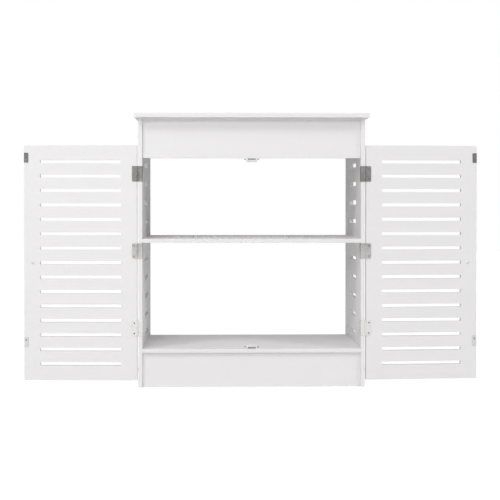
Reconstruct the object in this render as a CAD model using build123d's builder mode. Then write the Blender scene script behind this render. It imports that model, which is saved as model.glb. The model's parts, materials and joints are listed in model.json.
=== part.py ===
from build123d import *
import os
from math import cos, radians, sin

os.makedirs("parts", exist_ok=True)

# A floor-standing cabinet of painted fibreboard: slotted doors on wrap-around hinges, slotted
# sides and shelf, open back.  Millimetres.  The origin is the centre of the footprint on the
# floor, the front faces -Y, +X is to the right and +Z is up.

# ---------------------------------------------------------------- driving dimensions
board = 12.0                    # thickness of every board but the top
edge_round = 0.7                # eased edge of the painted boards

body_width = 700.0              # over the outer faces of the sides
body_depth = 340.0              # depth of the side panels
side_height = 833.0
top_thickness = 13.0
top_side_overhang = 12.0
top_front_overhang = 20.0

front_recess = 8.0              # apron and plinth stand this far behind the sides' front edges
apron_height = 124.0
base_top = 119.0                # height of the base panel's upper face
base_depth = 300.0
shelf_top = 459.0               # height of the shelf's upper face
shelf_depth = 325.0
rail_height = 80.0              # rear rail, close under the top

side_slot = (132.0, 14.0)       # front-to-back length and height
side_slot_first = 148.3         # height of the lowest side slot's centre line
side_slot_pitch = 60.45
side_slot_count = 10            # the one level with the shelf is left solid
shelf_slot = (14.0, 132.0)
shelf_slot_pitch = 60.0
shelf_slot_count = 9
slot_corner = 2.0

door_height = 725.0
door_bottom = 23.0
door_gap = 3.0                  # between a closed door and the carcass
door_middle_gap = 2.0           # between the two closed doors
door_slot = (250.0, 10.0)
door_slot_count = 15
door_slot_margin = 50.0         # from the door's ends to the first and last slot's centre line
left_rest_angle = 181.5         # how far each door stands open, in degrees from closed
right_rest_angle = 183.0

hinge_height = 48.0
hinge_centres = {"lower": 183.5, "middle": 421.7, "upper": 660.0}
leaf_thickness = 1.2
barrel_radius = 2.2
pin_radius = 1.1
pin_clearance = 0.05            # running fit of the pin in the door leaf's knuckles
knuckle_count = 5
knuckle_gap = 0.25
barrel_relief = 0.4             # the other leaf is cut back this far around a knuckle
leaf_bend = 0.9                 # outside radius where the cabinet leaf turns inwards
pin_proud = 0.5
pin_chamfer = 0.3
axis_outboard = 2.0             # hinge axis outside the side's outer face
door_leaf_width = 17.4          # from the hinge axis
cabinet_leaf_depth = 17.0       # along the side's inner face
leaf_corner = 3.0
hinge_screw_spacing = 32.0
door_screw_offset = 10.5        # hinge screws from the hinge axis
cabinet_screw_offset = 10.0     # hinge screws behind the side's front edge

small_screw = (2.7, 1.5, 10.5)      # head radius, shank radius, length
pan_screw = (3.2, 1.5, 10.0)
carcass_screw = (4.0, 2.0, 40.0)
bracket_screw = (3.2, 1.75, 10.0)
knob_screw = (4.0, 2.0, 22.0)
knob_screw_head = 2.2           # height of the knob screw's head
pan_head = 2.0
flush_recess = 0.7              # width and depth of the cross recess in a countersunk head
pan_recess = 0.8
cap_radius = 6.5
cap_height = 2.2
dowel_radius = 3.0
dowel_in_panel = 8.0
dowel_in_end = 18.0

apron_screw_height = 68.0       # above the apron's lower edge
apron_dowel_heights = (30.0, 106.0)
plinth_dowel_spread = 32.0      # above and below the plinth's middle
rail_dowel_spread = 25.0        # above and below the rail's middle
base_screw_depths = (55.0, 245.0)   # behind the sides' front edges
base_dowel_depth = 150.0
shelf_screw_depths = (60.0, 265.0)
shelf_dowel_depth = 162.5
side_dowel_depths = (45.0, 295.0)   # dowels up into the top
apron_dowel_spread = 200.0      # left and right of the middle, up into the top
rail_top_dowel_spread = 120.0

bracket_depths = (75.0, 250.0)  # behind the sides' front edges
bracket_leg = 20.0
bracket_width = 16.0
bracket_thickness = 1.5
bracket_screw_reach = 11.0      # screws from the bracket's corner

catch_body = (33.0, 15.0, 12.5)
catch_flange = (48.0, 10.0, 3.5)
catch_proud = 0.3               # housing in front of the sides' front edges
catch_corner = 1.4
catch_edge = 0.8
catch_screw_offset = 20.0
catch_screw_depth = 13.0        # behind the sides' front edges
magnet = (12.0, 9.0, 2.8)
magnet_set_back = 0.7           # behind the sides' front edges
magnet_room = 2.0               # pocket longer than the magnet
magnet_offset = 6.15            # each magnet from the catch's middle
magnet_height = 3.4             # centre of the magnets above the face the catch stands on
pole_width = 24.6
pole_thickness = 0.8
pole_face_height = 6.6           # turned-up front of the outer pole plate
pole_reach = 1.4                # pole plates in front of the sides' front edges
strike_plate = (13.5, 30.0, 1.2)
strike_corner = 1.5
strike_inset = 0.2              # from the door's free edge
strike_screw_end = 9.0          # screw from the plate's end nearer the door's middle
upper_strike_bottom = 695.0
lower_strike_bottom = 126.0

knob_inset = 27.5               # from the door's free edge
knob_radius = 15.0
knob_neck_radius = 6.0
knob_length = 25.0
knob_foot = 2.5                 # straight height of the foot
knob_foot_slope = 2.0           # height over which the foot narrows to the neck
knob_ring_round = 1.6

wall_hole_radius = 3.0
wall_hole_spacing = 400.0

# ---------------------------------------------------------------- worked-out dimensions
total_depth = body_depth + top_front_overhang
front_y = top_front_overhang - total_depth / 2
back_y = total_depth / 2
half_width = body_width / 2
half_inner = half_width - board
inner_width = 2 * half_inner
apron_bottom = side_height - apron_height
base_bottom = base_top - board
shelf_middle = shelf_top - board / 2
recess_y = front_y + front_recess
recess_middle = recess_y + board / 2
rail_middle_y = back_y - board / 2
rail_middle = side_height - rail_height / 2
base_middle = base_top - board / 2
axis_forward = door_gap / 2                     # hinge axis in front of the sides' front edges

door_width = half_width - door_middle_gap / 2
door_near = axis_outboard                       # door edge from the hinge axis
door_far = door_near + door_width
door_inner = axis_forward                       # door faces from the hinge axis
door_outer = door_inner + board
door_middle = door_bottom + door_height / 2
door_slot_pitch = (door_height - 2 * door_slot_margin) / (door_slot_count - 1)

leaf_front = axis_forward - leaf_thickness      # leaf's visible face behind the hinge axis
knuckle_length = hinge_height / knuckle_count
side_slot_heights = [side_slot_first + side_slot_pitch * i for i in range(side_slot_count)]
side_slot_heights = [z for z in side_slot_heights if abs(z - shelf_middle) > side_slot_pitch / 2]

# Fixings through each side panel, as (y, z) in the side's plane.
board_fixings = {
    "front_apron": [(recess_middle, apron_bottom + apron_screw_height)],
    "plinth": [(recess_middle, base_bottom / 2)],
    "base_panel": [(front_y + depth, base_middle) for depth in base_screw_depths],
    "shelf": [(front_y + depth, shelf_middle) for depth in shelf_screw_depths],
    "rear_top_rail": [(rail_middle_y, rail_middle)],
}
board_dowels = {
    "front_apron": [(recess_middle, apron_bottom + height) for height in apron_dowel_heights],
    "plinth": [(recess_middle, base_bottom / 2 + s * plinth_dowel_spread) for s in (-1, 1)],
    "base_panel": [(front_y + base_dowel_depth, base_middle)],
    "shelf": [(front_y + shelf_dowel_depth, shelf_middle)],
    "rear_top_rail": [(rail_middle_y, rail_middle + s * rail_dowel_spread) for s in (-1, 1)],
}
all_fixings = [point for points in board_fixings.values() for point in points]
all_dowels = [point for points in board_dowels.values() for point in points]
side_top_dowels = [(s * (half_width - board / 2), front_y + d) for s in (-1, 1) for d in side_dowel_depths]
apron_top_dowels = [(s * apron_dowel_spread, recess_middle) for s in (-1, 1)]
rail_top_dowels = [(s * rail_top_dowel_spread, rail_middle_y) for s in (-1, 1)]
top_dowels = side_top_dowels + apron_top_dowels + rail_top_dowels
bracket_screw_x = half_inner - bracket_screw_reach
bracket_screw_z = side_height - bracket_screw_reach
hinge_screw_heights = [centre + end * hinge_screw_spacing / 2
                       for centre in hinge_centres.values() for end in (-1, 1)]
pocket_depth = magnet[1] + magnet_room



# ---------------------------------------------------------------- shared shapes
def save(shape, label):
    """Name one finished piece and write its file."""
    shape.label = label
    export_step(shape, "parts/" + label + ".step")


def drawn_board(plane, width, height, slots=(), slot_size=(0.0, 0.0), thickness=board):
    """A board drawn on a plane, centred on its origin, with eased edges and through slots."""
    with BuildPart() as blank:
        with BuildSketch(plane):
            Rectangle(width, height)
        extrude(amount=thickness)
        fillet(blank.faces().sort_by(SortBy.AREA)[-2:].edges(), edge_round)
        if len(slots) > 0:
            with BuildSketch(plane):
                with Locations(*slots):
                    RectangleRounded(slot_size[0], slot_size[1], slot_corner)
            extrude(amount=thickness, mode=Mode.SUBTRACT)
    return blank.part


def flush_screws(plane, points, size):
    """Countersunk screws, one solid per point, their heads flush with the plane."""
    head_radius, shank_radius, length = size
    head_height = head_radius - shank_radius
    with BuildPart(plane) as screws:
        with Locations(*points):
            Cylinder(shank_radius, length, align=(Align.CENTER, Align.CENTER, Align.MAX))
            Cone(shank_radius, head_radius, head_height, align=(Align.CENTER, Align.CENTER, Align.MAX))
            Box(head_radius, flush_recess, flush_recess,
                align=(Align.CENTER, Align.CENTER, Align.MAX), mode=Mode.SUBTRACT)
            Box(flush_recess, head_radius, flush_recess,
                align=(Align.CENTER, Align.CENTER, Align.MAX), mode=Mode.SUBTRACT)
    return screws.part


def pan_screws(plane, points, size, head_height=pan_head):
    """Screws with a low domed head on the plane, one solid per point."""
    head_radius, shank_radius, length = size
    with BuildPart(plane) as screws:
        with Locations(*points):
            Cylinder(shank_radius, length, align=(Align.CENTER, Align.CENTER, Align.MAX))
            Cylinder(head_radius, 0.4 * head_height, align=(Align.CENTER, Align.CENTER, Align.MIN))
        with Locations(*[(point[0], point[1], 0.4 * head_height) for point in points]):
            Cone(head_radius, 0.6 * head_radius, 0.6 * head_height,
                 align=(Align.CENTER, Align.CENTER, Align.MIN))
        with Locations(*[(point[0], point[1], head_height) for point in points]):
            Box(head_radius, pan_recess, pan_recess,
                align=(Align.CENTER, Align.CENTER, Align.MAX), mode=Mode.SUBTRACT)
            Box(pan_recess, head_radius, pan_recess,
                align=(Align.CENTER, Align.CENTER, Align.MAX), mode=Mode.SUBTRACT)
    return screws.part


def outer_side_plane(sign):
    """Outer face of a side panel; local x is sign * y."""
    return Plane(origin=(sign * half_width, 0, 0), x_dir=(0, sign, 0), z_dir=(sign, 0, 0))


def inner_side_plane(sign, offset=0.0):
    """Inner face of a side panel, offset towards the inside; local x is -sign * y."""
    origin = (sign * (half_inner - offset), 0, 0)
    return Plane(origin=origin, x_dir=(0, -sign, 0), z_dir=(-sign, 0, 0))


def add_drillings(name, shape):
    """Drill a cross board's two ends for the side fixings and dowels, and its top for dowels."""
    with BuildPart() as drilled:
        add(shape)
        for sign in (-1, 1):
            with BuildSketch(inner_side_plane(sign)):
                with Locations(*[(-sign * y, z) for y, z in board_fixings[name]]):
                    Circle(carcass_screw[1])
            extrude(amount=carcass_screw[2] - board, mode=Mode.SUBTRACT)
            with BuildSketch(inner_side_plane(sign)):
                with Locations(*[(-sign * y, z) for y, z in board_dowels[name]]):
                    Circle(dowel_radius)
            extrude(amount=dowel_in_end, mode=Mode.SUBTRACT)
    return drilled.part


# ---------------------------------------------------------------- carcass boards
with BuildPart() as top_panel:
    add(drawn_board(Plane.XY.offset(side_height), body_width + 2 * top_side_overhang, total_depth,
                    thickness=top_thickness))
    with BuildSketch(Plane.XY.offset(side_height)):
        with Locations(*top_dowels):
            Circle(dowel_radius)
    extrude(amount=dowel_in_panel, mode=Mode.SUBTRACT)
    with BuildSketch(Plane.XY.offset(side_height)):
        for side in (-1, 1):
            for depth in bracket_depths:
                with Locations((side * bracket_screw_x, front_y + depth)):
                    Circle(bracket_screw[1])
    extrude(amount=bracket_screw[2] - bracket_thickness, mode=Mode.SUBTRACT)
save(top_panel.part, "top_panel")

for side_name, sign in (("left", -1), ("right", 1)):
    inner_x = -half_width if sign < 0 else half_inner
    side_plane = Plane(origin=(inner_x, front_y + body_depth / 2, side_height / 2),
                       x_dir=(0, 1, 0), z_dir=(1, 0, 0))
    with BuildPart() as side_panel:
        add(drawn_board(side_plane, body_depth, side_height,
                        [(0, z - side_height / 2) for z in side_slot_heights], side_slot))
        # clearance for the carcass screws, with their heads flush in the outer face
        with BuildSketch(outer_side_plane(sign)):
            with Locations(*[(sign * y, z) for y, z in all_fixings]):
                Circle(carcass_screw[1])
        extrude(amount=-board, mode=Mode.SUBTRACT)
        with Locations(*[outer_side_plane(sign) * Pos(sign * y, z, 0) for y, z in all_fixings]):
            Cone(carcass_screw[1], carcass_screw[0], carcass_screw[0] - carcass_screw[1],
                 align=(Align.CENTER, Align.CENTER, Align.MAX), mode=Mode.SUBTRACT)
        # blind dowel holes in the inner face
        with BuildSketch(inner_side_plane(sign)):
            with Locations(*[(-sign * y, z) for y, z in all_dowels]):
                Circle(dowel_radius)
        extrude(amount=-dowel_in_panel, mode=Mode.SUBTRACT)
        # dowels up into the top panel
        with BuildSketch(Plane.XY.offset(side_height)):
            with Locations(*[point for point in side_top_dowels if point[0] * sign > 0]):
                Circle(dowel_radius)
        extrude(amount=-dowel_in_end, mode=Mode.SUBTRACT)
        # hinge screws and top bracket screws
        with BuildSketch(inner_side_plane(sign)):
            with Locations(*[(-sign * (front_y + cabinet_screw_offset), z) for z in hinge_screw_heights]):
                Circle(small_screw[1])
        extrude(amount=-(small_screw[2] - leaf_thickness), mode=Mode.SUBTRACT)
        with BuildSketch(inner_side_plane(sign)):
            for depth in bracket_depths:
                with Locations((-sign * (front_y + depth), bracket_screw_z)):
                    Circle(bracket_screw[1])
        extrude(amount=-(bracket_screw[2] - bracket_thickness), mode=Mode.SUBTRACT)
    save(side_panel.part, side_name + "_side_panel")

with BuildPart() as front_apron:
    apron_plane = Plane(origin=(0, recess_y + board, apron_bottom + apron_height / 2),
                        x_dir=(1, 0, 0), z_dir=(0, -1, 0))
    add(add_drillings("front_apron", drawn_board(apron_plane, inner_width, apron_height)))
    with BuildSketch(Plane.XY.offset(side_height)):
        with Locations(*apron_top_dowels):
            Circle(dowel_radius)
    extrude(amount=-dowel_in_end, mode=Mode.SUBTRACT)
    with BuildSketch(Plane.XY.offset(apron_bottom)):
        with Locations(*[(s * catch_screw_offset, front_y + catch_screw_depth) for s in (-1, 1)]):
            Circle(pan_screw[1])
    extrude(amount=pan_screw[2] - catch_flange[2], mode=Mode.SUBTRACT)
save(front_apron.part, "front_apron")

with BuildPart() as shelf:
    shelf_plane = Plane(origin=(0, front_y + shelf_depth / 2, shelf_top - board))
    shelf_slots = [(shelf_slot_pitch * (i - (shelf_slot_count - 1) / 2), 0) for i in range(shelf_slot_count)]
    add(add_drillings("shelf", drawn_board(shelf_plane, inner_width, shelf_depth, shelf_slots, shelf_slot)))
save(shelf.part, "shelf")

with BuildPart() as base_panel:
    base_plane = Plane(origin=(0, front_y + base_depth / 2, base_bottom))
    add(add_drillings("base_panel", drawn_board(base_plane, inner_width, base_depth)))
    with BuildSketch(Plane.XY.offset(base_top)):
        with Locations(*[(s * catch_screw_offset, front_y + catch_screw_depth) for s in (-1, 1)]):
            Circle(pan_screw[1])
    extrude(amount=-(pan_screw[2] - catch_flange[2]), mode=Mode.SUBTRACT)
save(base_panel.part, "base_panel")

with BuildPart() as plinth:
    plinth_plane = Plane(origin=(0, recess_y + board, base_bottom / 2), x_dir=(1, 0, 0), z_dir=(0, -1, 0))
    add(add_drillings("plinth", drawn_board(plinth_plane, inner_width, base_bottom)))
save(plinth.part, "plinth")

with BuildPart() as rear_top_rail:
    rail_plane = Plane(origin=(0, back_y, rail_middle), x_dir=(1, 0, 0), z_dir=(0, -1, 0))
    add(add_drillings("rear_top_rail", drawn_board(rail_plane, inner_width, rail_height)))
    with BuildSketch(Plane.XY.offset(side_height)):
        with Locations(*rail_top_dowels):
            Circle(dowel_radius)
    extrude(amount=-dowel_in_end, mode=Mode.SUBTRACT)
    # two holes for the screws that hold the cabinet to a wall
    with BuildSketch(rail_plane):
        with Locations(*[(s * wall_hole_spacing / 2, 0) for s in (-1, 1)]):
            Circle(wall_hole_radius)
    extrude(amount=board, mode=Mode.SUBTRACT)
save(rear_top_rail.part, "rear_top_rail")

# ---------------------------------------------------------------- carcass fasteners
with BuildPart() as carcass_screws:
    for sign in (-1, 1):
        add(flush_screws(outer_side_plane(sign), [(sign * y, z) for y, z in all_fixings], carcass_screw))
save(carcass_screws.part, "carcass_screws")

with BuildPart() as screw_caps:
    rim_height = cap_height / 2
    for sign in (-1, 1):
        with Locations(*[outer_side_plane(sign) * Pos(sign * y, z, 0) for y, z in all_fixings]):
            Cylinder(cap_radius, rim_height, align=(Align.CENTER, Align.CENTER, Align.MIN))
        with Locations(*[outer_side_plane(sign) * Pos(sign * y, z, rim_height) for y, z in all_fixings]):
            Cone(cap_radius, 0.7 * cap_radius, rim_height, align=(Align.CENTER, Align.CENTER, Align.MIN))
save(screw_caps.part, "screw_caps")

with BuildPart() as carcass_dowels:
    for sign in (-1, 1):
        with BuildSketch(inner_side_plane(sign, -dowel_in_panel)):
            with Locations(*[(-sign * y, z) for y, z in all_dowels]):
                Circle(dowel_radius)
        extrude(amount=dowel_in_panel + dowel_in_end)
    with BuildSketch(Plane.XY.offset(side_height - dowel_in_end)):
        with Locations(*top_dowels):
            Circle(dowel_radius)
    extrude(amount=dowel_in_panel + dowel_in_end)
save(carcass_dowels.part, "carcass_dowels")

with BuildPart() as top_brackets:
    for sign in (-1, 1):
        for depth in bracket_depths:
            bracket_plane = Plane(origin=(sign * half_inner, front_y + depth, side_height),
                                  x_dir=(sign, 0, 0), z_dir=(0, -sign, 0))
            with BuildSketch(bracket_plane.offset(-bracket_width / 2)):
                with BuildLine():
                    Polyline((0, 0), (-bracket_leg, 0), (-bracket_leg, -bracket_thickness),
                             (-bracket_thickness, -bracket_thickness),
                             (-bracket_thickness, -bracket_leg), (0, -bracket_leg), close=True)
                make_face()
            extrude(amount=bracket_width)
            with BuildSketch(Plane.XY.offset(side_height)):
                with Locations((sign * bracket_screw_x, front_y + depth)):
                    Circle(bracket_screw[1])
            extrude(amount=-bracket_thickness, mode=Mode.SUBTRACT)
            with BuildSketch(inner_side_plane(sign)):
                with Locations((-sign * (front_y + depth), bracket_screw_z)):
                    Circle(bracket_screw[1])
            extrude(amount=bracket_thickness, mode=Mode.SUBTRACT)
save(top_brackets.part, "top_brackets")

with BuildPart() as top_bracket_screws:
    under_top = Plane(origin=(0, 0, side_height - bracket_thickness), x_dir=(1, 0, 0), z_dir=(0, 0, -1))
    for sign in (-1, 1):
        side_points = [(-sign * (front_y + depth), bracket_screw_z) for depth in bracket_depths]
        top_points = [(sign * bracket_screw_x, -(front_y + depth)) for depth in bracket_depths]
        add(pan_screws(inner_side_plane(sign, bracket_thickness), side_points, bracket_screw))
        add(pan_screws(under_top, top_points, bracket_screw))
save(top_bracket_screws.part, "top_bracket_screws")


# ---------------------------------------------------------------- doors
def door_planes(sign, rest_angle):
    """The door's plan and face planes at rest: local x is sign * distance from the hinge axis."""
    past_flat = radians(rest_angle - 180)
    axis_point = (sign * (half_width + axis_outboard), front_y - axis_forward, 0)
    along = (cos(past_flat), sign * sin(past_flat), 0)
    normal = (sign * sin(past_flat), -cos(past_flat), 0)
    plan = Plane(origin=axis_point, x_dir=along, z_dir=(0, 0, 1))
    face = Plane(origin=axis_point, x_dir=along, z_dir=normal)
    return plan, face


def build_door(sign, face):
    """A slotted door drawn on its face plane, drilled for hinges, strike plates and knob."""
    middle = sign * (door_near + door_far) / 2
    slots = [(0, (i - (door_slot_count - 1) / 2) * door_slot_pitch) for i in range(door_slot_count)]
    board_plane = face.offset(-door_outer) * Pos(middle, door_middle, 0)
    strike_x = sign * (door_far - strike_inset - strike_plate[0] / 2)
    strike_screws = (upper_strike_bottom + strike_screw_end,
                     lower_strike_bottom + strike_plate[1] - strike_screw_end)
    with BuildPart() as door:
        add(drawn_board(board_plane, door_width, door_height, slots, door_slot))
        with BuildSketch(face.offset(-door_inner)):
            with Locations(*[(sign * door_screw_offset, z) for z in hinge_screw_heights]):
                Circle(small_screw[1])
            with Locations(*[(strike_x, z) for z in strike_screws]):
                Circle(small_screw[1])
        extrude(amount=-(small_screw[2] - leaf_thickness), mode=Mode.SUBTRACT)
        with BuildSketch(face.offset(-door_inner)):
            with Locations((sign * (door_far - knob_inset), door_middle)):
                Circle(knob_screw[1])
        extrude(amount=-board, mode=Mode.SUBTRACT)
    return door.part


def build_knob(sign, face):
    """A turned knob on the door's outer face, with a blind hole for its screw."""
    knob_axis = face.offset(-door_outer) * Pos(sign * (door_far - knob_inset), door_middle, 0)
    profile_plane = Plane(origin=knob_axis.position, x_dir=(0, 0, 1), z_dir=-face.x_dir)
    with BuildPart() as knob:
        with BuildSketch(profile_plane):
            with BuildLine():
                Polyline((0, 0), (0.6 * knob_radius, 0), (0.6 * knob_radius, knob_foot),
                         (knob_neck_radius, knob_foot + knob_foot_slope),
                         (knob_neck_radius, 0.44 * knob_length),
                         (knob_radius, 0.62 * knob_length), (knob_radius, 0.84 * knob_length),
                         (0.8 * knob_radius, 0.97 * knob_length), (0, knob_length), close=True)
            make_face()
        revolve(axis=Axis(profile_plane.origin, profile_plane.y_dir))
        rings = knob.edges().filter_by(GeomType.CIRCLE)
        fillet(rings.filter_by(lambda ring: ring.radius > 0.7 * knob_radius), knob_ring_round)
        with BuildSketch(face.offset(-door_outer)):
            with Locations((sign * (door_far - knob_inset), door_middle)):
                Circle(knob_screw[1])
        extrude(amount=-(knob_screw[2] - board), mode=Mode.SUBTRACT)
    return knob.part


def build_strike_plate(sign, face, bottom, screw_height):
    """A steel plate on the door's inner face that a magnet holds."""
    centre_x = sign * (door_far - strike_inset - strike_plate[0] / 2)
    with BuildPart() as plate:
        with BuildSketch(face.offset(-door_inner)):
            with Locations((centre_x, bottom + strike_plate[1] / 2)):
                RectangleRounded(strike_plate[0], strike_plate[1], strike_corner)
        extrude(amount=strike_plate[2])
        with Locations(face.offset(-leaf_front) * Pos(centre_x, screw_height, 0)):
            Cylinder(small_screw[1], strike_plate[2], align=(Align.CENTER, Align.CENTER, Align.MAX),
                     mode=Mode.SUBTRACT)
            Cone(small_screw[1], small_screw[0], small_screw[0] - small_screw[1],
                 align=(Align.CENTER, Align.CENTER, Align.MAX), mode=Mode.SUBTRACT)
    return plate.part


# ---------------------------------------------------------------- hinges
def knuckle_starts(bottom, first):
    """Lower ends of every other knuckle of a hinge barrel."""
    return [bottom + k * knuckle_length for k in range(first, knuckle_count, 2)]


def build_cabinet_leaf(sign, plan, centre):
    """The leaf that wraps the side's front edge: barrel, strap over the edge, leg on the inner face."""
    bottom = centre - hinge_height / 2
    strap_end = half_inner - leaf_thickness
    strap_length = half_width + axis_outboard - strap_end
    with BuildPart() as leaf:
        with BuildSketch(Plane.XY.offset(bottom)):
            with Locations((sign * (strap_end + strap_length / 2), front_y - leaf_thickness / 2)):
                Rectangle(strap_length, leaf_thickness)
        extrude(amount=hinge_height)
        with BuildSketch(inner_side_plane(sign)) as leg:
            with Locations((-sign * (front_y + (cabinet_leaf_depth - leaf_thickness) / 2), centre)):
                Rectangle(cabinet_leaf_depth + leaf_thickness, hinge_height)
            deep_end = leg.vertices().sort_by(Axis.X)
            fillet(deep_end[:2] if sign > 0 else deep_end[-2:], leaf_corner)
        extrude(amount=leaf_thickness)
        bend_point = (sign * strap_end, front_y - leaf_thickness, centre)
        fillet(leaf.edges().filter_by(Axis.Z).sort_by_distance(bend_point)[0], leaf_bend)
        for start in knuckle_starts(bottom, 1):
            with BuildSketch(plan.offset(start - knuckle_gap)):
                Circle(barrel_radius + barrel_relief)
            extrude(amount=knuckle_length + 2 * knuckle_gap, mode=Mode.SUBTRACT)
        for start in knuckle_starts(bottom, 0):
            with BuildSketch(plan.offset(start)):
                Circle(barrel_radius)
            extrude(amount=knuckle_length)
        with BuildSketch(plan.offset(bottom)):
            Circle(pin_radius)
        extrude(amount=hinge_height, mode=Mode.SUBTRACT)
        screw_points = [(-sign * (front_y + cabinet_screw_offset), centre + end * hinge_screw_spacing / 2)
                        for end in (-1, 1)]
        visible_face = inner_side_plane(sign, leaf_thickness)
        with Locations(*[visible_face * Pos(x, z, 0) for x, z in screw_points]):
            Cylinder(small_screw[1], leaf_thickness, align=(Align.CENTER, Align.CENTER, Align.MAX),
                     mode=Mode.SUBTRACT)
            Cone(small_screw[1], small_screw[0], small_screw[0] - small_screw[1],
                 align=(Align.CENTER, Align.CENTER, Align.MAX), mode=Mode.SUBTRACT)
    return leaf.part


def build_door_leaf(sign, plan, face, centre):
    """The flat leaf on the door's inner face, with the two knuckles between the cabinet leaf's three."""
    bottom = centre - hinge_height / 2
    with BuildPart() as leaf:
        with BuildSketch(face.offset(-door_inner)) as plate:
            with Locations((sign * door_leaf_width / 2, centre)):
                Rectangle(door_leaf_width, hinge_height)
            far_end = plate.vertices().sort_by(Axis.X)
            fillet(far_end[-2:] if sign > 0 else far_end[:2], leaf_corner)
        extrude(amount=leaf_thickness)
        for start in knuckle_starts(bottom, 0):
            with BuildSketch(plan.offset(start - knuckle_gap)):
                Circle(barrel_radius + barrel_relief)
            extrude(amount=knuckle_length + 2 * knuckle_gap, mode=Mode.SUBTRACT)
        for start in knuckle_starts(bottom, 1):
            with BuildSketch(plan.offset(start)):
                Circle(barrel_radius)
            extrude(amount=knuckle_length)
        with BuildSketch(plan.offset(bottom)):
            Circle(pin_radius + pin_clearance)
        extrude(amount=hinge_height, mode=Mode.SUBTRACT)
        screw_points = [(sign * door_screw_offset, centre + end * hinge_screw_spacing / 2)
                        for end in (-1, 1)]
        with Locations(*[face.offset(-leaf_front) * Pos(x, z, 0) for x, z in screw_points]):
            Cylinder(small_screw[1], leaf_thickness, align=(Align.CENTER, Align.CENTER, Align.MAX),
                     mode=Mode.SUBTRACT)
            Cone(small_screw[1], small_screw[0], small_screw[0] - small_screw[1],
                 align=(Align.CENTER, Align.CENTER, Align.MAX), mode=Mode.SUBTRACT)
    return leaf.part


def build_hinge_pin(plan, centre):
    """The pin through all five knuckles, with slightly proud, chamfered ends."""
    with BuildPart() as pin:
        with BuildSketch(plan.offset(centre - hinge_height / 2 - pin_proud)):
            Circle(pin_radius)
        extrude(amount=hinge_height + 2 * pin_proud)
        chamfer(pin.edges().filter_by(GeomType.CIRCLE), pin_chamfer)
    return pin.part


for side_name, sign, rest_angle in (("left", -1, left_rest_angle), ("right", 1, right_rest_angle)):
    plan, face = door_planes(sign, rest_angle)
    save(build_door(sign, face), side_name + "_door")
    save(build_knob(sign, face), side_name + "_knob")
    knob_screw_point = (sign * (door_far - knob_inset), door_middle)
    save(pan_screws(face.offset(-door_inner), [knob_screw_point], knob_screw, knob_screw_head),
         side_name + "_knob_screw")

    strike_x = sign * (door_far - strike_inset - strike_plate[0] / 2)
    upper_screw = upper_strike_bottom + strike_screw_end
    lower_screw = lower_strike_bottom + strike_plate[1] - strike_screw_end
    save(build_strike_plate(sign, face, upper_strike_bottom, upper_screw), side_name + "_upper_strike_plate")
    save(build_strike_plate(sign, face, lower_strike_bottom, lower_screw), side_name + "_lower_strike_plate")
    strike_points = [(strike_x, upper_screw), (strike_x, lower_screw)]
    save(flush_screws(face.offset(-leaf_front), strike_points, small_screw), side_name + "_strike_screws")

    for level, centre in hinge_centres.items():
        hinge = side_name + "_" + level + "_hinge_"
        save(build_cabinet_leaf(sign, plan, centre), hinge + "cabinet_leaf")
        save(build_door_leaf(sign, plan, face, centre), hinge + "door_leaf")
        save(build_hinge_pin(plan, centre), hinge + "pin")

    door_points = [(sign * door_screw_offset, z) for z in hinge_screw_heights]
    save(flush_screws(face.offset(-leaf_front), door_points, small_screw), side_name + "_hinge_door_screws")
    cabinet_points = [(-sign * (front_y + cabinet_screw_offset), z) for z in hinge_screw_heights]
    save(flush_screws(inner_side_plane(sign, leaf_thickness), cabinet_points, small_screw),
         side_name + "_hinge_cabinet_screws")


# ---------------------------------------------------------------- magnetic catches
def build_catch_housing(seat, turn):
    """A moulded twin-magnet housing with two screw flanges, standing on its seat plane."""
    body_y = turn * (front_y - catch_proud + catch_body[1] / 2)
    flange_y = turn * (front_y + catch_screw_depth)
    pocket_y = turn * (front_y - catch_proud + pocket_depth / 2)
    with BuildPart(seat) as housing:
        with Locations((0, body_y)):
            Box(*catch_body, align=(Align.CENTER, Align.CENTER, Align.MIN))
        with Locations((0, flange_y)):
            Box(*catch_flange, align=(Align.CENTER, Align.CENTER, Align.MIN))
        fillet(housing.edges().filter_by(Axis.Z), catch_corner)
        crown = housing.faces().sort_by(Axis(seat.origin, seat.z_dir))[-1]
        fillet(crown.edges(), catch_edge)
        with Locations((0, pocket_y, magnet_height)):
            Box(pole_width, pocket_depth, magnet[2] + 2 * pole_thickness, mode=Mode.SUBTRACT)
        with Locations(*[(s * catch_screw_offset, flange_y, 0) for s in (-1, 1)]):
            Cylinder(pan_screw[1], catch_flange[2], align=(Align.CENTER, Align.CENTER, Align.MIN),
                     mode=Mode.SUBTRACT)
    return housing.part


def build_catch_magnets(seat, turn):
    """Two block magnets side by side between the pole plates."""
    magnet_y = turn * (front_y + magnet_set_back + magnet[1] / 2)
    with BuildPart(seat) as magnets:
        with Locations(*[(s * magnet_offset, magnet_y, magnet_height) for s in (-1, 1)]):
            Box(*magnet)
    return magnets.part


def build_pole_plates(seat, turn):
    """A flat steel plate under the magnets, and one over them whose front is turned up as a face."""
    length = pole_reach + pocket_depth - catch_proud
    plate_y = turn * (front_y - pole_reach + length / 2)
    face_y = turn * (front_y - pole_reach + pole_thickness / 2)
    offset = (magnet[2] + pole_thickness) / 2
    face_bottom = magnet_height + magnet[2] / 2
    with BuildPart(seat) as plates:
        with Locations(*[(0, plate_y, magnet_height + e * offset) for e in (-1, 1)]):
            Box(pole_width, length, pole_thickness)
        with Locations((0, face_y, face_bottom)):
            Box(pole_width, pole_thickness, pole_face_height, align=(Align.CENTER, Align.CENTER, Align.MIN))
    return plates.part


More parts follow.
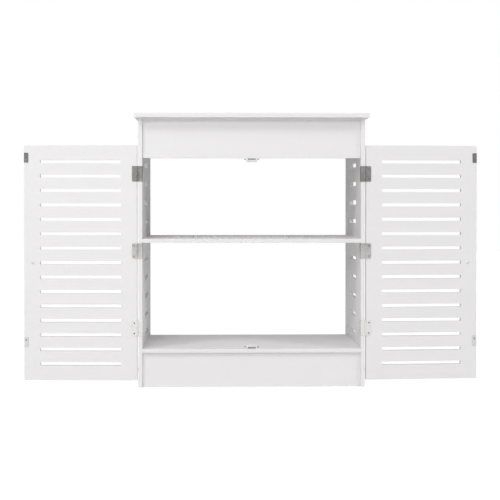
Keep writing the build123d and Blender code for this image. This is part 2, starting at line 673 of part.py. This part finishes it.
upper_seat = Plane(origin=(0, 0, apron_bottom), x_dir=(1, 0, 0), z_dir=(0, 0, -1))
lower_seat = Plane.XY.offset(base_top)
for level, seat, turn in (("upper", upper_seat, -1), ("lower", lower_seat, 1)):
    save(build_catch_housing(seat, turn), level + "_catch_housing")
    save(build_catch_magnets(seat, turn), level + "_catch_magnets")
    save(build_pole_plates(seat, turn), level + "_catch_pole_plates")
    screw_points = [(s * catch_screw_offset, turn * (front_y + catch_screw_depth)) for s in (-1, 1)]
    save(pan_screws(seat.offset(catch_flange[2]), screw_points, pan_screw), level + "_catch_screws")
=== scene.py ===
import json
import math

import bpy
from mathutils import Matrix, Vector

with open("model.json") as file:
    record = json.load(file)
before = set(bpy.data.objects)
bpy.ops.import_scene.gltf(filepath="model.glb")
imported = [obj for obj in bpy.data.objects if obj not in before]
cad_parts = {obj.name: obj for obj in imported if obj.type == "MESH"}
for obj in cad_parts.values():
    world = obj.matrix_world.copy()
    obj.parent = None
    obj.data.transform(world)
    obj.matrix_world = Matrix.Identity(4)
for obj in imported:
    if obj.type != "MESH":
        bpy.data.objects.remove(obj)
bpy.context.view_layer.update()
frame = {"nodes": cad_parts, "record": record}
nodes = frame["nodes"]
slot_of_node = {row["node"]: row["material_slot"] for row in frame["record"]["subparts"]}

scene = bpy.context.scene

# ---------------------------------------------------------------- camera

CAMERA_PLACE = (-0.1037, -2.9374, 0.5773)
CAMERA_TURN_RIGHT = 0.0155
CAMERA_PITCH_DOWN = math.radians(0.5)
SENSOR_WIDTH = 36.0
FOCAL_LENGTH = 64.8
SHIFT_X = 0.0357
SHIFT_Y = -0.083

camera_data = bpy.data.cameras.new("camera")
camera_data.sensor_width = SENSOR_WIDTH
camera_data.lens = FOCAL_LENGTH
camera_data.shift_x = SHIFT_X
camera_data.shift_y = SHIFT_Y
camera = bpy.data.objects.new("camera", camera_data)
camera.location = CAMERA_PLACE
camera.rotation_euler = (math.pi / 2 - CAMERA_PITCH_DOWN, 0.0, -CAMERA_TURN_RIGHT)
scene.collection.objects.link(camera)
scene.camera = camera

scene.view_settings.view_transform = "Standard"
scene.view_settings.look = "None"
scene.view_settings.exposure = 0.0
scene.view_settings.gamma = 1.0


# ---------------------------------------------------------------- node helpers

# sockets of the Mix node, which share their names between data types
MIX_FACTOR = 0
MIX_FLOAT_A = 2
MIX_FLOAT_B = 3
MIX_COLOUR_A = 6
MIX_COLOUR_B = 7
MIX_FLOAT_RESULT = 0
MIX_COLOUR_RESULT = 2


def new_material(name):
    """An empty material, its node tree, and the coordinates that its textures use."""
    material = bpy.data.materials.new(name)
    material.use_nodes = True
    tree = material.node_tree
    tree.nodes.clear()
    coordinates = tree.nodes.new("ShaderNodeTexCoord").outputs["Object"]
    return material, tree, coordinates


def link(tree, start, end):
    tree.links.new(start, end)


def mapped_noise(tree, coordinates, scale, detail=3.0, roughness=0.6, stretch=(1.0, 1.0, 1.0)):
    """A noise value from 0 to 1 over the object's own coordinates, in metres."""
    mapping = tree.nodes.new("ShaderNodeMapping")
    mapping.inputs["Scale"].default_value = stretch
    link(tree, coordinates, mapping.inputs["Vector"])
    noise = tree.nodes.new("ShaderNodeTexNoise")
    noise.inputs["Scale"].default_value = scale
    noise.inputs["Detail"].default_value = detail
    noise.inputs["Roughness"].default_value = roughness
    link(tree, mapping.outputs["Vector"], noise.inputs["Vector"])
    return noise.outputs["Fac"]


def remapped(tree, value, low=0.0, high=1.0, from_low=0.3, from_high=0.7):
    """Spread a value over a new range; the default input range is the middle of a noise."""
    node = tree.nodes.new("ShaderNodeMapRange")
    node.inputs["From Min"].default_value = from_low
    node.inputs["From Max"].default_value = from_high
    node.inputs["To Min"].default_value = low
    node.inputs["To Max"].default_value = high
    link(tree, value, node.inputs["Value"])
    return node.outputs["Result"]


def maths(tree, operation, first, second):
    node = tree.nodes.new("ShaderNodeMath")
    node.operation = operation
    for index, value in enumerate((first, second)):
        if isinstance(value, (int, float)):
            node.inputs[index].default_value = value
        else:
            link(tree, value, node.inputs[index])
    return node.outputs["Value"]


def weighted_sum(tree, first, first_weight, second, second_weight):
    return maths(
        tree,
        "ADD",
        maths(tree, "MULTIPLY", first, first_weight),
        maths(tree, "MULTIPLY", second, second_weight),
    )


def colour_between(tree, factor, first, second):
    node = tree.nodes.new("ShaderNodeMix")
    node.data_type = "RGBA"
    node.inputs[MIX_COLOUR_A].default_value = (*first, 1.0)
    node.inputs[MIX_COLOUR_B].default_value = (*second, 1.0)
    link(tree, factor, node.inputs[MIX_FACTOR])
    return node.outputs[MIX_COLOUR_RESULT]


def bump(tree, height, strength, distance):
    node = tree.nodes.new("ShaderNodeBump")
    node.inputs["Strength"].default_value = strength
    node.inputs["Distance"].default_value = distance
    link(tree, height, node.inputs["Height"])
    return node.outputs["Normal"]


def principled(tree, colour, roughness, normal, **sockets):
    shader = tree.nodes.new("ShaderNodeBsdfPrincipled")
    output = tree.nodes.new("ShaderNodeOutputMaterial")
    link(tree, colour, shader.inputs["Base Color"])
    link(tree, roughness, shader.inputs["Roughness"])
    link(tree, normal, shader.inputs["Normal"])
    for key, value in sockets.items():
        shader.inputs[key.replace("_", " ")].default_value = value
    link(tree, shader.outputs["BSDF"], output.inputs["Surface"])


# ---------------------------------------------------------------- object materials

PAINT = (0.800, 0.789, 0.793)
PAINT_DULL = (0.776, 0.764, 0.766)


def painted_board():
    """White satin paint on fibreboard: a sprayed texture and a slightly uneven film."""
    material, tree, coordinates = new_material("painted_board")
    cloud = mapped_noise(tree, coordinates, scale=5.0, roughness=0.55)
    mottle = mapped_noise(tree, coordinates, scale=60.0, detail=4.0)
    peel = mapped_noise(tree, coordinates, scale=420.0, detail=2.0, roughness=0.5)
    grain = mapped_noise(tree, coordinates, scale=1500.0, detail=2.0, roughness=0.5)
    tone = weighted_sum(tree, cloud, 0.65, mottle, 0.35)
    colour = colour_between(tree, remapped(tree, tone), PAINT_DULL, PAINT)
    roughness = remapped(tree, tone, low=0.50, high=0.40)
    film = weighted_sum(tree, peel, 1.0, grain, 0.3)
    normal = bump(tree, film, strength=0.08, distance=0.00004)
    principled(tree, colour, roughness, normal, IOR=1.46)
    return material


# how far a face has to look sideways, from 0 to 1, before the painted shade on its plating starts and is
# complete, and how bright that painted shade leaves the plating
SIDEWAYS_SHADE_FROM = 0.93
SIDEWAYS_SHADE_TO = 0.99
SIDEWAYS_SHADE_BRIGHTNESS = 0.42


def painted_shade_where_sideways(tree, bright):
    """Paint shade into the plating on faces that look sideways: the leg that wraps round the panel, and the
    edges. The darkening stands in for shade and dark reflection there, not for a duller finish.
    """
    normal = tree.nodes.new("ShaderNodeTexCoord").outputs["Normal"]
    split = tree.nodes.new("ShaderNodeSeparateXYZ")
    link(tree, normal, split.inputs["Vector"])
    sideways = maths(tree, "ABSOLUTE", split.outputs["X"], 0.0)
    sideways_shade = remapped(tree, sideways, from_low=SIDEWAYS_SHADE_FROM, from_high=SIDEWAYS_SHADE_TO)
    node = tree.nodes.new("ShaderNodeMix")
    node.data_type = "RGBA"
    node.blend_type = "MULTIPLY"
    link(tree, sideways_shade, node.inputs[MIX_FACTOR])
    link(tree, bright, node.inputs[MIX_COLOUR_A])
    node.inputs[MIX_COLOUR_B].default_value = (SIDEWAYS_SHADE_BRIGHTNESS, SIDEWAYS_SHADE_BRIGHTNESS, SIDEWAYS_SHADE_BRIGHTNESS, 1.0)
    return node.outputs[MIX_COLOUR_RESULT]


NICKEL_DULL = (0.80, 0.79, 0.775)
NICKEL_BRIGHT = (0.88, 0.87, 0.855)


def hinge_steel():
    """Bright nickel plate over rolled sheet, with fine rolling lines and faint handling marks."""
    material, tree, coordinates = new_material("hinge_steel")
    rolling = mapped_noise(tree, coordinates, scale=900.0, stretch=(1.0, 1.0, 0.04))
    smudge = mapped_noise(tree, coordinates, scale=45.0)
    tone = weighted_sum(tree, rolling, 0.35, smudge, 0.65)
    # painted shade: the plating is darkened where its faces look sideways, standing in for the dark line
    # along the hinge's leg
    colour = painted_shade_where_sideways(tree, colour_between(tree, remapped(tree, tone), NICKEL_DULL, NICKEL_BRIGHT))
    roughness = remapped(tree, smudge, low=0.14, high=0.22)
    normal = bump(tree, rolling, strength=0.12, distance=0.00002)
    principled(tree, colour, roughness, normal, Metallic=1.0)
    return material


STRIKE_DULL = (0.66, 0.66, 0.655)
STRIKE_BRIGHT = (0.80, 0.80, 0.795)


def strike_steel():
    """Plain zinc-plated strike plate: greyer than the hinges, with stamped-sheet grain."""
    material, tree, coordinates = new_material("strike_steel")
    rolling = mapped_noise(tree, coordinates, scale=1100.0, stretch=(0.05, 1.0, 1.0))
    smudge = mapped_noise(tree, coordinates, scale=120.0)
    colour = colour_between(tree, remapped(tree, rolling), STRIKE_DULL, STRIKE_BRIGHT)
    roughness = remapped(tree, smudge, low=0.10, high=0.20)
    normal = bump(tree, rolling, strength=0.12, distance=0.00003)
    principled(tree, colour, roughness, normal, Metallic=1.0)
    return material


POLE_DULL = (0.74, 0.74, 0.74)
POLE_BRIGHT = (0.82, 0.82, 0.82)


def pole_steel():
    """Satin zinc on the pole plates of the catches, rubbed where the strike plates land."""
    material, tree, coordinates = new_material("pole_steel")
    rubbing = mapped_noise(tree, coordinates, scale=700.0, stretch=(0.2, 1.0, 1.0))
    smudge = mapped_noise(tree, coordinates, scale=160.0)
    colour = colour_between(tree, remapped(tree, smudge), POLE_DULL, POLE_BRIGHT)
    roughness = remapped(tree, rubbing, low=0.50, high=0.66)
    normal = bump(tree, rubbing, strength=0.12, distance=0.00003)
    principled(tree, colour, roughness, normal, Metallic=0.9)
    return material


def screw_steel(name, dark, light):
    """Zinc on turned screws, worn duller in patches; the two colours passed in set the overall brightness,
    which for the screw_steel screws is darkened as painted shade.
    """
    material, tree, coordinates = new_material(name)
    patches = mapped_noise(tree, coordinates, scale=500.0)
    grain = mapped_noise(tree, coordinates, scale=2500.0, detail=2.0, roughness=0.5)
    colour = colour_between(tree, remapped(tree, patches), dark, light)
    roughness = remapped(tree, patches, low=0.28, high=0.42)
    normal = bump(tree, grain, strength=0.2, distance=0.00004)
    principled(tree, colour, roughness, normal, Metallic=1.0)
    return material


SPANGLE_CELLS = 220.0
BRACKET_DULL = (0.52, 0.53, 0.54)
BRACKET_BRIGHT = (0.70, 0.71, 0.71)


def bracket_steel():
    """Zinc-plated angle brackets with a faint spangle."""
    material, tree, coordinates = new_material("bracket_steel")
    cells = tree.nodes.new("ShaderNodeTexVoronoi")
    cells.inputs["Scale"].default_value = SPANGLE_CELLS
    link(tree, coordinates, cells.inputs["Vector"])
    smudge = mapped_noise(tree, coordinates, scale=150.0)
    spangle = weighted_sum(tree, cells.outputs["Distance"], 0.5, smudge, 1.0)
    tone = remapped(tree, spangle, from_low=0.4, from_high=1.1)
    colour = colour_between(tree, tone, BRACKET_DULL, BRACKET_BRIGHT)
    roughness = remapped(tree, smudge, low=0.28, high=0.42)
    normal = bump(tree, smudge, strength=0.15, distance=0.00005)
    principled(tree, colour, roughness, normal, Metallic=1.0)
    return material


KNOB_DULL = (0.60, 0.585, 0.56)
KNOB_BRIGHT = (0.72, 0.71, 0.69)


def knob_metal():
    """Satin nickel on turned knobs, with very fine turning marks."""
    material, tree, coordinates = new_material("knob_metal")
    turning = mapped_noise(
        tree, coordinates, scale=1400.0, detail=2.0, roughness=0.5, stretch=(0.06, 1.0, 0.06)
    )
    smudge = mapped_noise(tree, coordinates, scale=110.0)
    colour = colour_between(tree, remapped(tree, smudge), KNOB_DULL, KNOB_BRIGHT)
    roughness = remapped(tree, smudge, low=0.26, high=0.36)
    normal = bump(tree, turning, strength=0.15, distance=0.00004)
    principled(tree, colour, roughness, normal, Metallic=1.0)
    return material


def moulded_plastic(name, dark, light, rough_low, rough_high):
    """Moulded plastic with a fine spark-eroded skin."""
    material, tree, coordinates = new_material(name)
    flow = mapped_noise(tree, coordinates, scale=80.0)
    skin = mapped_noise(tree, coordinates, scale=1800.0, detail=2.0, roughness=0.5)
    colour = colour_between(tree, remapped(tree, flow), dark, light)
    roughness = remapped(tree, flow, low=rough_low, high=rough_high)
    normal = bump(tree, skin, strength=0.25, distance=0.00005)
    principled(tree, colour, roughness, normal, IOR=1.5)
    return material


FERRITE_DARK = (0.018, 0.018, 0.02)
FERRITE_LIGHT = (0.06, 0.06, 0.065)


def magnet_ferrite():
    """Dull black sintered ferrite, slightly speckled."""
    material, tree, coordinates = new_material("magnet_ferrite")
    speckle = mapped_noise(tree, coordinates, scale=1600.0, detail=4.0, roughness=0.7)
    colour = colour_between(tree, remapped(tree, speckle), FERRITE_DARK, FERRITE_LIGHT)
    roughness = remapped(tree, speckle, low=0.6, high=0.8)
    normal = bump(tree, speckle, strength=0.4, distance=0.00008)
    principled(tree, colour, roughness, normal)
    return material


BEECH_DARK = (0.46, 0.29, 0.16)
BEECH_LIGHT = (0.64, 0.46, 0.29)


def dowel_wood():
    """Beech with grain along the dowel."""
    material, tree, coordinates = new_material("dowel_wood")
    grain = mapped_noise(tree, coordinates, scale=700.0, detail=4.0, stretch=(0.1, 1.0, 1.0))
    colour = colour_between(tree, remapped(tree, grain), BEECH_DARK, BEECH_LIGHT)
    roughness = remapped(tree, grain, low=0.55, high=0.7)
    normal = bump(tree, grain, strength=0.3, distance=0.0001)
    principled(tree, colour, roughness, normal)
    return material


CATCH_DARK = (0.78, 0.775, 0.765)
CATCH_LIGHT = (0.83, 0.825, 0.815)
CAP_DARK = (0.76, 0.75, 0.75)
CAP_LIGHT = (0.80, 0.79, 0.79)
# painted shade: the screws' zinc below is darker than plain zinc, standing in for the shade in their
# recessed heads; the knob screws keep plain bright zinc
ZINC_DARK = (0.26, 0.26, 0.26)
ZINC_LIGHT = (0.44, 0.44, 0.44)
BRIGHT_ZINC_DARK = (0.74, 0.74, 0.74)
BRIGHT_ZINC_LIGHT = (0.86, 0.86, 0.86)

looks = {
    "painted_board": painted_board(),
    "hinge_steel": hinge_steel(),
    "strike_steel": strike_steel(),
    "pole_steel": pole_steel(),
    "screw_steel": screw_steel("screw_steel", ZINC_DARK, ZINC_LIGHT),
    "knob_screw_steel": screw_steel("knob_screw_steel", BRIGHT_ZINC_DARK, BRIGHT_ZINC_LIGHT),
    "bracket_steel": bracket_steel(),
    "knob_metal": knob_metal(),
    "catch_plastic": moulded_plastic("catch_plastic", CATCH_DARK, CATCH_LIGHT, 0.34, 0.44),
    "cap_plastic": moulded_plastic("cap_plastic", CAP_DARK, CAP_LIGHT, 0.32, 0.42),
    "magnet_ferrite": magnet_ferrite(),
    "dowel_wood": dowel_wood(),
}

for name, piece in nodes.items():
    if name.endswith("_knob_screw"):
        look = "knob_screw_steel"
    elif name.endswith("_pole_plates"):
        look = "pole_steel"
    else:
        look = slot_of_node[name]
    piece.data.materials.clear()
    piece.data.materials.append(looks[look])


# ---------------------------------------------------------------- stage

FLOOR_SIZE = 14.0
FLOOR_GLOW = 0.965
PAPER_DARK = (0.84, 0.84, 0.84)
PAPER_LIGHT = (0.86, 0.86, 0.86)
SHADOW_GREY = (0.12, 0.12, 0.12, 1.0)


def studio_floor():
    """Seamless pale paper, lit to almost white, with a faint soft shadow under the object."""
    material, tree, coordinates = new_material("studio_floor")
    fibre = mapped_noise(tree, coordinates, scale=300.0)
    colour = colour_between(tree, remapped(tree, fibre), PAPER_DARK, PAPER_LIGHT)
    paper = tree.nodes.new("ShaderNodeBsdfDiffuse")
    link(tree, colour, paper.inputs["Color"])
    faint = tree.nodes.new("ShaderNodeBsdfDiffuse")
    faint.inputs["Color"].default_value = SHADOW_GREY
    glow = tree.nodes.new("ShaderNodeEmission")
    glow.inputs["Strength"].default_value = FLOOR_GLOW
    seen = tree.nodes.new("ShaderNodeAddShader")
    link(tree, faint.outputs["BSDF"], seen.inputs[0])
    link(tree, glow.outputs["Emission"], seen.inputs[1])
    path = tree.nodes.new("ShaderNodeLightPath")
    choice = tree.nodes.new("ShaderNodeMixShader")
    link(tree, path.outputs["Is Camera Ray"], choice.inputs["Fac"])
    link(tree, paper.outputs["BSDF"], choice.inputs[1])
    link(tree, seen.outputs["Shader"], choice.inputs[2])
    output = tree.nodes.new("ShaderNodeOutputMaterial")
    link(tree, choice.outputs["Shader"], output.inputs["Surface"])
    return material


floor_mesh = bpy.data.meshes.new("studio_floor")
half = FLOOR_SIZE / 2
floor_mesh.from_pydata(
    [(-half, -half, 0.0), (half, -half, 0.0), (half, half, 0.0), (-half, half, 0.0)],
    [],
    [(0, 1, 2, 3)],
)
floor = bpy.data.objects.new("studio_floor", floor_mesh)
floor.data.materials.append(studio_floor())
scene.collection.objects.link(floor)

# room brightness from straight in front (position 0) round to straight behind (1)
ROOM_STOPS = ((0.0, 0.27), (0.25, 0.07), (0.5, 0.04), (0.8, 0.02), (1.0, 0.32))
ROOM_OVERHEAD = 0.84
# the height of a direction, from 0 to 1, at which the overhead brightness starts and is complete
OVERHEAD_FROM = 0.2
OVERHEAD_TO = 0.9
WHITE = (1.0, 1.0, 1.0, 1.0)


def studio_world():
    """White behind the object for the camera; a soft room, mostly lit from overhead, for the rest."""
    world = bpy.data.worlds.new("studio")
    world.use_nodes = True
    tree = world.node_tree
    tree.nodes.clear()
    direction = tree.nodes.new("ShaderNodeTexCoord").outputs["Generated"]
    split = tree.nodes.new("ShaderNodeSeparateXYZ")
    link(tree, direction, split.inputs["Vector"])
    ramp = tree.nodes.new("ShaderNodeValToRGB")
    elements = ramp.color_ramp.elements
    while len(elements) < len(ROOM_STOPS):
        elements.new(0.5)
    for element, (position, grey) in zip(elements, ROOM_STOPS):
        element.position = position
        element.color = (grey, grey, grey, 1.0)
    behind = remapped(tree, split.outputs["Y"], from_low=-1.0, from_high=1.0)
    link(tree, behind, ramp.inputs["Fac"])
    overhead = remapped(tree, split.outputs["Z"], from_low=OVERHEAD_FROM, from_high=OVERHEAD_TO)
    level = tree.nodes.new("ShaderNodeMix")
    level.data_type = "FLOAT"
    link(tree, overhead, level.inputs[MIX_FACTOR])
    link(tree, ramp.outputs["Color"], level.inputs[MIX_FLOAT_A])
    level.inputs[MIX_FLOAT_B].default_value = ROOM_OVERHEAD
    room = tree.nodes.new("ShaderNodeBackground")
    room.inputs["Color"].default_value = WHITE
    link(tree, level.outputs[MIX_FLOAT_RESULT], room.inputs["Strength"])
    white = tree.nodes.new("ShaderNodeBackground")
    white.inputs["Color"].default_value = WHITE
    white.inputs["Strength"].default_value = 1.0
    path = tree.nodes.new("ShaderNodeLightPath")
    choice = tree.nodes.new("ShaderNodeMixShader")
    link(tree, path.outputs["Is Camera Ray"], choice.inputs["Fac"])
    link(tree, room.outputs["Background"], choice.inputs[1])
    link(tree, white.outputs["Background"], choice.inputs[2])
    output = tree.nodes.new("ShaderNodeOutputWorld")
    link(tree, choice.outputs["Shader"], output.inputs["Surface"])
    return world


scene.world = studio_world()


LIGHT_DISTANCE = 7.0
LIGHT_AIM = Vector((0.0, 0.0, 0.4))
LIGHT_SIDE = 1.6
# azimuth in degrees to the right of straight in front, elevation in degrees, watts
LIGHTS = {
    "key_left": (-50.0, 44.0, 122.0),
    "front": (-18.0, 26.0, 122.0),
    "fill_right": (60.0, 38.0, 98.0),
}

for light_name, (azimuth, elevation, watts) in LIGHTS.items():
    turn = math.radians(azimuth)
    rise = math.radians(elevation)
    outward = Vector((math.cos(rise) * math.sin(turn), -math.cos(rise) * math.cos(turn), math.sin(rise)))
    light = bpy.data.lights.new(light_name, "AREA")
    light.shape = "SQUARE"
    light.size = LIGHT_SIDE
    light.energy = watts
    lamp = bpy.data.objects.new(light_name, light)
    lamp.location = LIGHT_AIM + LIGHT_DISTANCE * outward
    lamp.rotation_euler = (-outward).to_track_quat("-Z", "Y").to_euler()
    scene.collection.objects.link(lamp)
